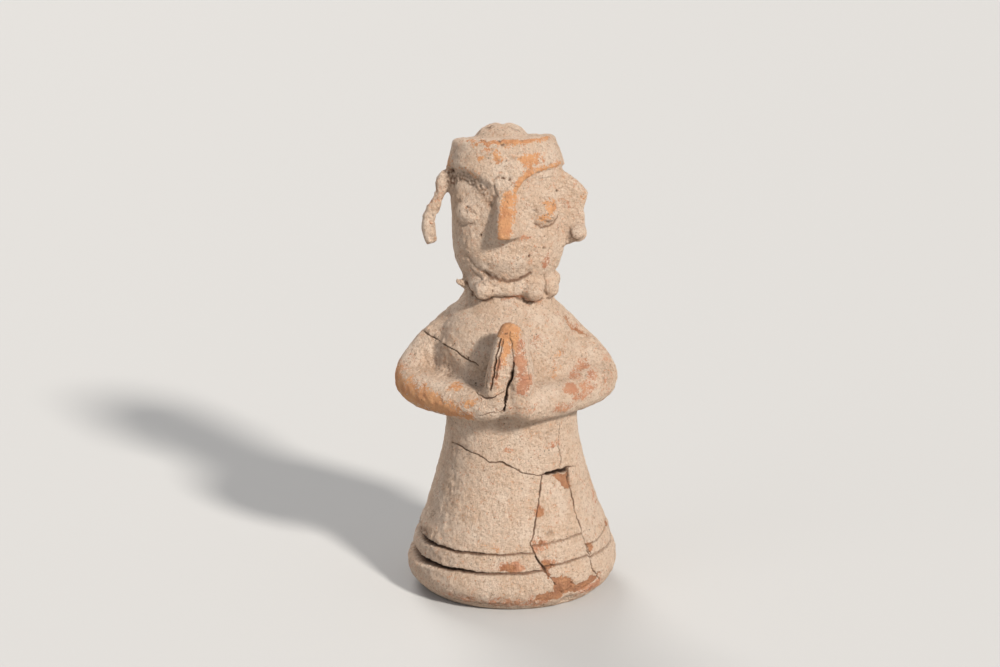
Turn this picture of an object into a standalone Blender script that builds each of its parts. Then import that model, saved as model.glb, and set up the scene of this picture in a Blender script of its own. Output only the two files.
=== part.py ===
"""Terracotta votive figure: a standing worshipper with a bell-shaped skirt, palms joined at the chest.

The whole figure is one fired-clay solid. The skirt and chest are a thrown shell, open below.
The head is solid. Metres, +Z up, the face looks along -Y. The origin is on the ground, at the middle
of the figure's outline.
"""

import math

import bmesh
import bpy
import numpy as np
from mathutils import Matrix, Vector

# Skirt, turned on the wheel
foot_radius = 0.0324        # outer edge of the rim that it stands on
flange_radius = 0.0400      # widest point of the rolled flange
flange_height = 0.0158      # ground to the groove above the flange
band_radius = 0.0375        # face of the flat band above that groove
band_height = 0.0068        # groove to groove
groove_depth = 0.0014       # both turned grooves, below the surface beside them
flake_depth = 0.0016        # the flake lost from the skirt
chip_depth = 0.0020         # the chip out of the foot's edge
skirt_height = 0.0640       # ground to the waist
waist_radius = 0.0246
wall = 0.0065               # thrown wall, from the rim to the top of the hollow
hollow_height = 0.0965      # ground to the closed top of the hollow, inside the chest
tier_tilt = 0.040           # rise of the grooves toward the right, over the distance across

# Upper figure, drawn in parts of its own height above the waist
bust_height = 0.1130        # waist to the top of the hair knot
parts_in_bust = 113
part = bust_height / parts_in_bust
lean = Vector((-0.0017, 0.0, 0.0))     # the bust stands this far off the skirt's axis
foot_centre = Vector((0.0020, 0.0, 0.0))  # the skirt's axis, seen from the middle of the outline

# Head, in parts, on its own axis that tips back from the neck and a little to the left
neck_joint = 58.0
head_shift = 0.8
head_tilt = math.radians(10)
head_roll = math.radians(2.5)
chin_level = -2.0
crown_level = 50.0
brow_level = 31.0           # where the brows meet the nose
face_half_width = 21.0
head_depth_share = 0.87     # depth of the head over its width
eye_level = (chin_level + crown_level) / 2
eye_spread = 14.8           # middle of the face to each eye
nose_level = (chin_level + brow_level) / 2
mouth_level = nose_level - (nose_level - chin_level) / 3

# Mesh
rough_voxel = 0.0013
fine_voxel = 0.0009
solid_faces = 7200          # triangles of the outer skin, before the hollow is cut
turning_steps = 48
below_ground = 0.004        # how far the raw clay runs under the ground plane before the foot is cut flat

clay_colour = (0.72, 0.55, 0.41, 1.0)
clay_roughness = 0.9


def clear_scene():
    for obj in list(bpy.data.objects):
        bpy.data.objects.remove(obj)


def collection(name):
    made = bpy.data.collections.new(name)
    bpy.context.scene.collection.children.link(made)
    return made


def new_object(name, mesh, home):
    obj = bpy.data.objects.new(name, mesh)
    home.objects.link(obj)
    return obj


def applied(obj):
    """The object's mesh with its modifiers in it, and the modifiers gone."""
    graph = bpy.context.evaluated_depsgraph_get()
    mesh = bpy.data.meshes.new_from_object(obj.evaluated_get(graph))
    obj.modifiers.clear()
    obj.data = mesh
    return obj


def smooth_line(points, steps):
    """Points along a Catmull-Rom curve through the given ones, steps of them to each stretch."""
    before = 2 * np.array(points[0]) - points[1]
    after = 2 * np.array(points[-1]) - points[-2]
    run = [before, *map(np.array, points), after]
    line = []
    for a, b, c, d in zip(run, run[1:], run[2:], run[3:]):
        bend = 2 * a - 5 * b + 4 * c - d
        twist = 3 * b - a - 3 * c + d
        for step in range(steps):
            t = step / steps
            line.append(0.5 * (2 * b + (c - a) * t + bend * t**2 + twist * t**3))
    line.append(np.array(points[-1], float))
    return line


def eased(t):
    t = np.clip(t, 0, 1)
    return t * t * (3 - 2 * t)


def face_out(mesh, weld=0.0):
    """Joins doubled points and turns every face outward."""
    cage = bmesh.new()
    cage.from_mesh(mesh)
    if weld:
        bmesh.ops.remove_doubles(cage, verts=cage.verts, dist=weld)
    bmesh.ops.recalc_face_normals(cage, faces=cage.faces)
    cage.to_mesh(mesh)
    cage.free()


def turned(name, profile, home, ring=False):
    """A solid turned about Z from (radius, height) pairs, top to bottom: ends on the axis, or a closed ring."""
    edges = [(i, i + 1) for i in range(len(profile) - 1)]
    if ring:
        edges.append((len(profile) - 1, 0))
    mesh = bpy.data.meshes.new(name)
    mesh.from_pydata([(r, 0, z) for r, z in profile], edges, [])
    obj = new_object(name, mesh, home)
    screw = obj.modifiers.new("turn", "SCREW")
    screw.steps = screw.render_steps = turning_steps
    screw.use_merge_vertices = True
    screw.merge_threshold = 0.00001
    applied(obj)
    face_out(obj.data)
    return obj


def tube(name, points, radii, home):
    """A round-sectioned roll of clay through the points, with its own radius at each."""
    steps = 5
    curve = bpy.data.curves.new(name, "CURVE")
    curve.dimensions = "3D"
    curve.bevel_depth = 1.0
    curve.bevel_resolution = 4
    curve.use_fill_caps = True
    line = smooth_line([(*p, r) for p, r in zip(points, radii)], steps)
    spline = curve.splines.new("POLY")
    spline.points.add(len(line) - 1)
    for place, (x, y, z, radius) in zip(spline.points, line):
        place.co = (x, y, z, 1)
        place.radius = radius
    raw = new_object(name + "_line", curve, home)
    graph = bpy.context.evaluated_depsgraph_get()
    mesh = bpy.data.meshes.new_from_object(raw.evaluated_get(graph))
    bpy.data.objects.remove(raw)
    face_out(mesh, weld=0.00001)
    return new_object(name, mesh, home)


def ball(name, centre, radii, home, turn=None):
    """A pressed ball of clay: a sphere with three radii, turned by an optional matrix."""
    cage = bmesh.new()
    shape = Matrix.Translation(centre) @ (turn or Matrix.Identity(4)) @ Matrix.Diagonal((*radii, 1))
    bmesh.ops.create_uvsphere(cage, u_segments=24, v_segments=14, radius=1, matrix=shape)
    mesh = bpy.data.meshes.new(name)
    cage.to_mesh(mesh)
    cage.free()
    return new_object(name, mesh, home)


def pinched(name, balls, home):
    """Clay pinched to a flat form: the hull round small (place, radius) balls."""
    cage = bmesh.new()
    for place, radius in balls:
        bmesh.ops.create_icosphere(cage, subdivisions=2, radius=radius, matrix=Matrix.Translation(place))
    hull = bmesh.ops.convex_hull(cage, input=cage.verts)
    bmesh.ops.delete(cage, geom=list({*hull["geom_interior"], *hull["geom_unused"]}), context="VERTS")
    mesh = bpy.data.meshes.new(name)
    cage.to_mesh(mesh)
    cage.free()
    face_out(mesh)
    return new_object(name, mesh, home)


def fused(name, pieces, voxel, smoothing, home):
    """The pieces as one skin of clay, their joints worked smooth."""
    cage = bmesh.new()
    for piece in pieces:
        piece.data.transform(piece.matrix_world)
        cage.from_mesh(piece.data)
        bpy.data.objects.remove(piece)
    mesh = bpy.data.meshes.new(name)
    cage.to_mesh(mesh)
    cage.free()
    obj = new_object(name, mesh, home)
    remesh = obj.modifiers.new("fuse", "REMESH")
    remesh.mode = "VOXEL"
    remesh.voxel_size = voxel
    if smoothing:
        smooth = obj.modifiers.new("work smooth", "SMOOTH")
        smooth.factor = 0.5
        smooth.iterations = smoothing
    return applied(obj)


def coordinates(obj):
    flat = np.empty(len(obj.data.vertices) * 3)
    obj.data.vertices.foreach_get("co", flat)
    return flat.reshape(-1, 3)


def normals(obj):
    flat = np.empty(len(obj.data.vertices) * 3)
    obj.data.vertices.foreach_get("normal", flat)
    return flat.reshape(-1, 3)


def store(obj, points):
    obj.data.vertices.foreach_set("co", points.ravel())
    obj.data.update()


def press(obj, centre, reach, push):
    """Moves the clay near centre by push, fading out at reach, which is one radius or three."""
    points = coordinates(obj)
    away = np.linalg.norm((points - np.array(centre)) / np.array(reach), axis=1)
    store(obj, points + eased(1 - away)[:, None] * np.array(push))


def distance_to_line(points, line):
    """Each point's distance to the nearest stretch of the line."""
    nearest = np.full(len(points), 1e9)
    for a, b in zip(line, line[1:]):
        a, along = np.array(a), np.array(b) - np.array(a)
        t = np.clip((points - a) @ along / max(along @ along, 1e-12), 0, 1)
        nearest = np.minimum(nearest, np.linalg.norm(points - a - t[:, None] * along, axis=1))
    return nearest


def score(obj, line, width, depth):
    """A groove of that depth into the surface along the line, or a ridge where depth is negative."""
    points = coordinates(obj)
    cut = eased(1 - distance_to_line(points, line) / width)
    store(obj, points - normals(obj) * (cut * depth)[:, None])


def bust(x, y, z):
    """A place on the upper figure: parts right of its axis, behind it and above the waist."""
    return Vector((x, y, z)) * part + Vector((0, 0, skirt_height)) + lean + foot_centre


def head_frame():
    """From parts in the tipped head to the figure."""
    tip = Matrix.Rotation(-head_roll, 4, "Y") @ Matrix.Rotation(-head_tilt, 4, "X")
    return Matrix.Translation(bust(head_shift, 0, neck_joint)) @ tip @ Matrix.Scale(part, 4)


def head(x, y, z):
    return head_frame() @ Vector((x, y, z))


def on_face(x, z, proud=0.0):
    """A place on the head's front surface, x parts across and z parts up, standing proud of it."""
    depth = head_depth_share * math.sqrt(max(face_half_width**2 - x**2, 1.0))
    return head(x, -depth - proud, z)


def bust_profile():
    """(radius, height) up the chest and neck, in parts above the waist, without the waist itself."""
    chest = [(24.9, 5), (26.6, 11), (28.0, 19), (28.0, 27), (26.6, 33)]
    shoulders = [(24.4, 38), (21.6, 42.5), (18.2, 46.5), (16.2, 50)]
    neck = [(15.4, 53), (15.0, 58), (15.0, 62)]
    return chest + shoulders + neck


def skirt_curve():
    """(radius, height) of the plain skirt between the band and the waist, without grooves."""
    band_top = flange_height + band_height
    rise = skirt_height - band_top
    flare = band_radius * 0.95 - waist_radius
    bell = 1.35
    shares = np.linspace(0, 1, 7)
    return [(waist_radius + flare * (1 - t) ** bell, band_top + rise * t) for t in shares]


def skirt_profile():
    """The outside of the skirt from under the ground to the waist: rolled flange, flat band, plain bell."""
    roll = flange_height * 0.62
    rounded = [(foot_radius + (flange_radius - foot_radius) * math.sin(t * math.pi / 2), roll * t**1.35)
               for t in np.linspace(0, 1, 6)]
    step_in = (flange_radius - band_radius) * 0.5
    step_up = (flange_height - roll) * 0.9
    shoulder = [(flange_radius - step_in * t**2, roll + step_up * t) for t in (0.5, 1.0)]
    band_shares = [(1.0, 0.1), (0.995, 0.5), (0.982, 0.85)]
    band = [(band_radius * r, flange_height + band_height * z) for r, z in band_shares]
    return [(foot_radius, -below_ground), *rounded, *shoulder, *band, *skirt_curve()[1:]]


def tilt_tiers(obj):
    """The flange and band were not thrown quite level: they rise toward the right."""
    points = coordinates(obj)
    height = points[:, 2]
    share = eased(height / flange_height) * eased((skirt_height - height) / (skirt_height - flange_height))
    points[:, 2] += tier_tilt * share * points[:, 0]
    store(obj, points)


def flatten_chest(obj):
    """The thrown bust was pressed flatter front to back than side to side, and leans off the skirt's axis."""
    chest_depth_share = 0.9
    points = coordinates(obj)
    rise = eased((points[:, 2] - skirt_height) / (25 * part))
    points[:, 1] *= 1 - (1 - chest_depth_share) * rise
    points += rise[:, None] * np.array(lean)
    store(obj, points)


def thrown_body(home):
    """The outside of the skirt, chest and neck, turned in one."""
    above = [(r * part, skirt_height + z * part) for r, z in bust_profile()]
    outline = skirt_profile() + above
    body = turned("thrown_body", [(0, outline[0][1]), *outline, (0, above[-1][1])][::-1], home)
    tilt_tiers(body)
    flatten_chest(body)
    body.data.transform(Matrix.Translation(foot_centre))
    return body


# Arms, in parts: places down the middle of each roll of clay, and its radius there, shoulder to wrist
left_arm = [
    ((-15, 3, 40), 7.5), ((-22.5, 2.5, 32.5), 8.0), ((-30, 0.5, 26), 7.8),
    ((-34.9, -3.5, 18.6), 7.8), ((-31.5, -11, 15.8), 7.6), ((-24, -19, 15.4), 7.2),
    ((-14.5, -26, 15), 6.9), ((-7, -31, 15.6), 6.4), ((-3.9, -33, 18), 5.4),
]
right_arm = [
    ((15, 3, 39.5), 7.5), ((22, 2.5, 31.5), 8.0), ((29, 0.5, 24.8), 8.3),
    ((33.6, -3.5, 18.2), 8.3), ((28.5, -11, 16.4), 8.0), ((20.5, -18.5, 15.6), 7.8),
    ((12.5, -25, 15.4), 7.5), ((7.2, -31, 15.8), 6.6), ((4.6, -33, 18), 5.6),
]

# Joined hands, in parts: the same, from the heel of each hand to its fingertips
left_hand = [
    ((-4.0, -32, 17), 5.8), ((-4.1, -32.8, 24), 5.9), ((-2.5, -32.8, 33), 5.2),
    ((-1.4, -31.8, 40.5), 4.3), ((-0.1, -31, 46), 2.7),
]
right_hand = [
    ((4.4, -32, 17), 6.2), ((5.0, -33, 24), 6.4), ((4.8, -33, 31), 6.0),
    ((3.9, -32.6, 37), 5.1), ((2.8, -31.8, 42.5), 3.9), ((1.2, -31, 46.6), 2.4),
]
palm_thickness_share = 0.78     # a hand's thickness over its depth


def limb(name, places, home, across=1.0):
    """A roll of clay on the upper figure, squeezed side to side by the share given."""
    line = [bust(x / across, y, z) for (x, y, z), _ in places]
    roll = tube(name, line, [r * part for _, r in places], home)
    middle = bust(0, 0, 0)
    squeeze = Matrix.Translation(middle) @ Matrix.Diagonal((across, 1, 1, 1)) @ Matrix.Translation(-middle)
    roll.data.transform(squeeze)
    return roll


def head_mass(home):
    """The head's barrel with the flat-topped band round the brow, broad at the jaw."""
    top, width = crown_level, face_half_width
    crown = [(0, top + 0.4), (12, top + 0.3), (16.8, top - 0.4), (18.5, top - 2.6), (19.8, top - 7)]
    cheeks = [(width, brow_level + 8), (width, brow_level), (width * 0.985, eye_level), (width, nose_level)]
    jaw_shares = [(0.98, mouth_level - 1), (0.93, chin_level + 5.5), (0.82, chin_level + 1.6), (0.64, chin_level - 1)]
    outline = crown + cheeks + [(width * share, z) for share, z in jaw_shares] + [(0, chin_level - 2)]
    profile = [(max(r, 0), z) for r, z in smooth_line(outline, 2)]
    profile[0], profile[-1] = (0, profile[0][1]), (0, profile[-1][1])
    mass = turned("head", profile, home)
    mass.data.transform(head_frame() @ Matrix.Diagonal((1, head_depth_share, 1, 1)))
    return mass


# The brow line: (parts out from the middle, parts above the bridge of the nose)
brow_line = [(0, -2.5), (3.6, 0), (6.8, 3.4), (11, 6.4), (15, 8.0), (19, 8.4), (21.5, 7.6)]


def nose(home):
    """A pinched wedge from between the brows to a flat, blunt tip."""
    top, tip, out = brow_level + 1.5, nose_level + 0.4, 7.0
    drift = -0.6
    balls = [(on_face(drift + x, tip, out), 1.2) for x in (-2.0, 2.0)]
    balls += [(on_face(x, tip + 0.4, -0.6), 1.4) for x in (-5.2, 4.6)]
    balls += [(on_face(x, top, 1.2), 1.0) for x in (-1.6, 1.4)]
    balls += [(on_face(x, top, -1.4), 1.2) for x in (-3.0, 3.0)]
    return pinched("nose", [(place, r * part) for place, r in balls], home)


def eye(side, home):
    """A lens of clay pressed on, with a raised rim and a hollow pupil."""
    turn = Matrix.Rotation(-head_tilt, 4, "X") @ Matrix.Rotation(side * math.radians(38), 4, "Z")
    radii = [5.1 * part, 2.7 * part, 4.2 * part]
    return ball("eye", on_face(side * eye_spread, eye_level, -0.7), radii, home, turn)


def right_ear(home):
    """A lug pinched out from the side of the face, with a pellet pressed on its lobe."""
    upper = [(19.5, 36.4), (24.4, 33.2), (29.1, 28.4), (27.0, 22.8), (18.5, 20)]
    lower = [(18.5, 24), (27.0, 22.8), (27.3, 16), (23.5, 11.4), (18.5, 10)]
    plates = []
    for outline in (upper, lower):
        plates.append(pinched("ear_plate", [(head(x, -3.6, z), 1.8 * part) for x, z in outline], home))
    pellet = ball("ear_pellet", head(26.1, -5.8, 13.8), [3.6 * part] * 3, home)
    return [*plates, pellet]


def left_ear(home):
    """The other lug: torn behind, its lobe drawn out as a strip that hangs clear of the cheek."""
    places = [(-18.5, 37.6), (-23.4, 35.2), (-24.4, 30.6), (-26.8, 25.8), (-28.8, 22), (-29.5, 17.6),
              (-28.2, 11.8)]
    radii = [2.9, 2.9, 2.1, 2.6, 2.7, 2.8, 2.6]
    return tube("ear_strip", [head(x, -3, z) for x, z in places], [r * part for r in radii], home)


def hair_knot(home):
    return ball("hair_knot", head(-0.7, 0.5, crown_level - 0.2), [9.9 * part, 8.8 * part, 5.8 * part], home)


def crown_rim(home):
    """The soft raised edge round the flat crown."""
    across = 32
    ring = [head(16.9 * math.sin(a), -16.9 * head_depth_share * math.cos(a), crown_level - 0.9)
            for a in np.linspace(0, 2 * math.pi, across + 1)]
    return tube("crown_rim", ring, [1.4 * part] * (across + 1), home)


collar_bottom, collar_top = 52.4, 57.8
collar_radius = 16.4
pellet_angles = {
    "front_left": -31, "front_right": 35, "side_right": 72,
    "back_right": 108, "back_middle": 180, "back_left": -144,
}


def necklace(home):
    """A flat collar round the neck, and the pellets still on it. The front one and two on the left are lost."""
    rows = [(collar_radius - 2, collar_top + 1), (collar_radius, collar_top - 0.6),
            (collar_radius + 0.3, collar_bottom + 0.8), (collar_radius - 2, collar_bottom)]
    profile = [(0, rows[0][1] * part), *[(r * part, z * part) for r, z in rows], (0, rows[-1][1] * part)]
    collar = turned("collar", profile, home)
    collar.data.transform(Matrix.Translation(bust(0, 0, 0)))
    pellets = []
    for place, degrees in pellet_angles.items():
        a = math.radians(degrees)
        out = collar_radius + (0.2 if place == "side_right" else 1.2)
        tall = 4.6 if place == "side_right" else 3.7
        centre = bust(out * math.sin(a), -out * math.cos(a), collar_bottom + 2.0 - 0.8 * math.sin(a))
        pellets.append(ball("pellet_" + place, centre, [3.6 * part, 3.6 * part, tall * part], home))
    return [collar, *pellets]


def raise_band(figure):
    """The band stands a little proud of the face below the brow line, and of the nape."""
    proud = 1.3 * part
    points = coordinates(figure)
    to_head = head_frame().inverted()
    local = points @ np.array(to_head.to_3x3()).T + np.array(to_head.translation)
    outs, rises = zip(*brow_line)
    edge = brow_level + np.interp(np.abs(local[:, 0]), outs, rises)
    edge = np.where(local[:, 1] > 0, brow_level + rises[-1], edge)
    flat = np.linalg.norm(local[:, :2] * (1, 1 / head_depth_share), axis=1)
    below_crown = eased((crown_level + 0.5 - local[:, 2]) / 1.5)
    inside = below_crown * eased((flat - 12) / 4) * (flat < face_half_width + 1.6)
    softness = 1.6 + 5 * eased(1 - np.abs(local[:, 0]) / 5)
    share = eased((local[:, 2] - edge) / softness) * inside
    away = np.array(head_frame().to_3x3()) @ (local * (1, 1, 0)).T
    away = away.T / np.maximum(np.linalg.norm(away.T, axis=1), 1e-9)[:, None]
    store(figure, points + away * (share * proud)[:, None])


def carve_body(body):
    """What was worked into the soft clay before the small pieces went on: arm hollows and eye sockets."""
    press(body, bust(-22, -18, 25), [9 * part, 9 * part, 6 * part], Vector((0.3, 0.75, -0.5)) * 3.0 * part)
    press(body, bust(21, -19, 25), [11 * part, 9 * part, 6 * part], Vector((-0.2, 0.6, -0.3)) * 1.4 * part)
    for side in (-1, 1):
        socket = on_face(side * (eye_spread - 1.3), brow_level + 1)
        press(body, socket, [9 * part, 9 * part, 7.5 * part], Vector((0, 2.0 * part, 0)))


def carve_face(figure):
    """The mouth, the fold under the chin, the pupils and the crease in the hair knot."""
    mouth = [on_face(x, mouth_level + 0.012 * x * x, 0.4) for x in (-6, -3, 0, 3, 6)]
    score(figure, mouth, 1.6 * part, 0.6 * part)
    fold = [on_face(x, chin_level + 0.6 + 0.03 * x * x, -2.0) for x in (-9, -5, 0, 5, 9)]
    score(figure, fold, 1.8 * part, 0.8 * part)
    for side in (-1, 1):
        pupil = on_face(side * eye_spread, eye_level + 0.5, 1.6)
        press(figure, pupil, [2.4 * part] * 3, Vector((0, 0.9 * part, 0)))
    crease = [head(-0.2, y, crown_level + 5.4) for y in (-9, -4, 0, 5)]
    score(figure, crease, 2.0 * part, 0.9 * part)


def on_skirt(radius, height, degrees):
    """A place on the skirt, that many degrees right of the front."""
    a = math.radians(degrees)
    return foot_centre + Vector((radius * math.sin(a), -radius * math.cos(a), height))


def carve_losses(figure):
    """Old damage: the flake off the right shoulder, the gap in the skirt and the chip in the foot's edge."""
    press(figure, bust(26, -5, 39), [3.2 * part, 6 * part, 7.5 * part], Vector((-1.2, 0.5, -1.0)) * part)
    bell = skirt_curve()
    flake_height = skirt_height * 0.62
    flake_radius = float(np.interp(flake_height, [z for _, z in bell], [r for r, _ in bell]))
    flake_size = wall * 0.45
    flake_turn = 48
    inward = (on_skirt(0, 0, 0) - on_skirt(1, 0, flake_turn)) * flake_depth
    reach = [flake_size, flake_size, flake_size * 1.7]
    press(figure, on_skirt(flake_radius, flake_height, flake_turn), reach, inward)
    chip_turn = 35
    chip_size = flange_height * 0.33
    inward = (on_skirt(0, 0, 0) - on_skirt(1, 0, chip_turn)) * chip_depth
    edge = on_skirt((foot_radius + flange_radius) / 2, flange_height * 0.2, chip_turn)
    press(figure, edge, [chip_size] * 3, inward)


def groove_cutter(name, radius, height, home):
    """A sharp-edged ring that bites a wedge of the groove's depth into the skirt at that height."""
    half = groove_depth * 0.75
    outside = radius + groove_depth * 1.6
    wedge = [(outside, height + 1.6 * half), (outside, height - half), (radius - groove_depth, height)]
    cutter = turned(name, wedge, home, ring=True)
    tilt_tiers(cutter)
    cutter.data.transform(Matrix.Translation(foot_centre))
    return cutter


def hollow_cutter(home):
    """The inside of the thrown shell, a wall's thickness in from the outside, open below and domed on top."""
    outside = skirt_curve() + [(r * part, skirt_height + z * part) for r, z in bust_profile()]
    outer_radii, heights = [r for r, _ in outside], [z for _, z in outside]
    dome = 0.45 * (waist_radius - wall)
    rows = np.linspace(-2 * below_ground, hollow_height - dome, 11)
    inner = [(min(float(np.interp(z, heights, outer_radii)), foot_radius) - wall, float(z)) for z in rows]
    top_radius, spring = inner[-1]
    turns = np.linspace(0, math.pi / 2, 6)[1:-1]
    arch = [(top_radius * math.cos(a), spring + dome * math.sin(a)) for a in turns]
    profile = [(0, inner[0][1]), *inner, *arch, (0, hollow_height)]
    cutter = turned("hollow", profile[::-1], home)
    flatten_chest(cutter)
    cutter.data.transform(Matrix.Translation(foot_centre))
    return cutter


def ground_cutter(home):
    half = 3 * flange_radius
    bpy.ops.mesh.primitive_cube_add(size=1, location=(0, 0, -half / 2))
    block = bpy.context.active_object
    block.name = "ground"
    block.scale = (half, half, half)
    for owner in list(block.users_collection):
        owner.objects.unlink(block)
    home.objects.link(block)
    return block


def cut(obj, cutter):
    bite = obj.modifiers.new("cut " + cutter.name, "BOOLEAN")
    bite.operation = "DIFFERENCE"
    bite.solver = "EXACT"
    bite.object = cutter
    cutter.hide_render = True
    cutter.display_type = "WIRE"


def clay():
    made = bpy.data.materials.new("terracotta")
    made.use_nodes = True
    shader = made.node_tree.nodes["Principled BSDF"]
    shader.inputs["Base Color"].default_value = clay_colour
    shader.inputs["Roughness"].default_value = clay_roughness
    shader.inputs["Metallic"].default_value = 0.0
    return made


def details(home):
    """Everything that was luted onto the thrown body and the head."""
    left = limb("left_hand", left_hand, home, palm_thickness_share)
    right = limb("right_hand", right_hand, home, palm_thickness_share)
    heels = ball("heels", bust(0.4, -31.5, 17.5), [6.5 * part, 5.5 * part, 6.5 * part], home)
    face = [nose(home), eye(-1, home), eye(1, home)]
    ears = [*right_ear(home), left_ear(home)]
    return [left, right, heels, *face, *ears, hair_knot(home), crown_rim(home), *necklace(home)]


def votive_figure(home, cutters):
    arms = [limb("left_arm", left_arm, home), limb("right_arm", right_arm, home)]
    body = fused("body", [thrown_body(home), *arms, head_mass(home)], rough_voxel, 5, home)
    carve_body(body)
    figure = fused("votive_figure", [body, *details(home)], fine_voxel, 1, home)
    raise_band(figure)
    carve_face(figure)
    carve_losses(figure)
    thin = figure.modifiers.new("fewer faces", "DECIMATE")
    thin.ratio = min(1.0, solid_faces / sum(len(face.vertices) - 2 for face in figure.data.polygons))
    applied(figure)
    cut(figure, groove_cutter("groove_low", band_radius, flange_height, cutters))
    cut(figure, groove_cutter("groove_high", band_radius * 0.955, flange_height + band_height, cutters))
    cut(figure, hollow_cutter(cutters))
    cut(figure, ground_cutter(cutters))
    applied(figure)
    figure.data.materials.clear()
    figure.data.materials.append(clay())
    figure.data.shade_smooth()
    figure.data.set_sharp_from_angle(angle=math.radians(50))
    return figure


def main():
    clear_scene()
    votive_figure(collection("votive figure"), collection("cutters"))


main()
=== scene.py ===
import math

import bmesh
import bpy
import numpy as np
from mathutils import Matrix, Vector, noise
from mathutils.bvhtree import BVHTree
from mathutils.kdtree import KDTree


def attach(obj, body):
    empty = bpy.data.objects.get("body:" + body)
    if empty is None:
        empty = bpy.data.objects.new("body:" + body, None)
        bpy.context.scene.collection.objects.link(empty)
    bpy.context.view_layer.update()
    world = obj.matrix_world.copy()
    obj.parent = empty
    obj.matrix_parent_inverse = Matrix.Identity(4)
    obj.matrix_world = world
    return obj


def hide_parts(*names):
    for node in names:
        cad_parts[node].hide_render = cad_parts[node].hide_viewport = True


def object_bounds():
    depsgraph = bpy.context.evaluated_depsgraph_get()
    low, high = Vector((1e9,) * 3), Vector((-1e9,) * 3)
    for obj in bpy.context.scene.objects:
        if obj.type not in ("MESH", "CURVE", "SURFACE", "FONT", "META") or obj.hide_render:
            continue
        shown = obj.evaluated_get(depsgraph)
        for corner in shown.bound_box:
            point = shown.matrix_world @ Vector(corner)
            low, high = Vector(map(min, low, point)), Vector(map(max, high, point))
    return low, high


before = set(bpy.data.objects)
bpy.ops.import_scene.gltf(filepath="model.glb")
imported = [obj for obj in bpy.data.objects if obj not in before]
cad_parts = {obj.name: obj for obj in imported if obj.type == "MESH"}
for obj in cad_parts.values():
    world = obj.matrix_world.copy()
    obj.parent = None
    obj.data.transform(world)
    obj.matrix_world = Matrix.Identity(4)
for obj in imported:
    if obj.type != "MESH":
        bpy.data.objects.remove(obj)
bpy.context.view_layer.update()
mm = 0.001

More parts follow.
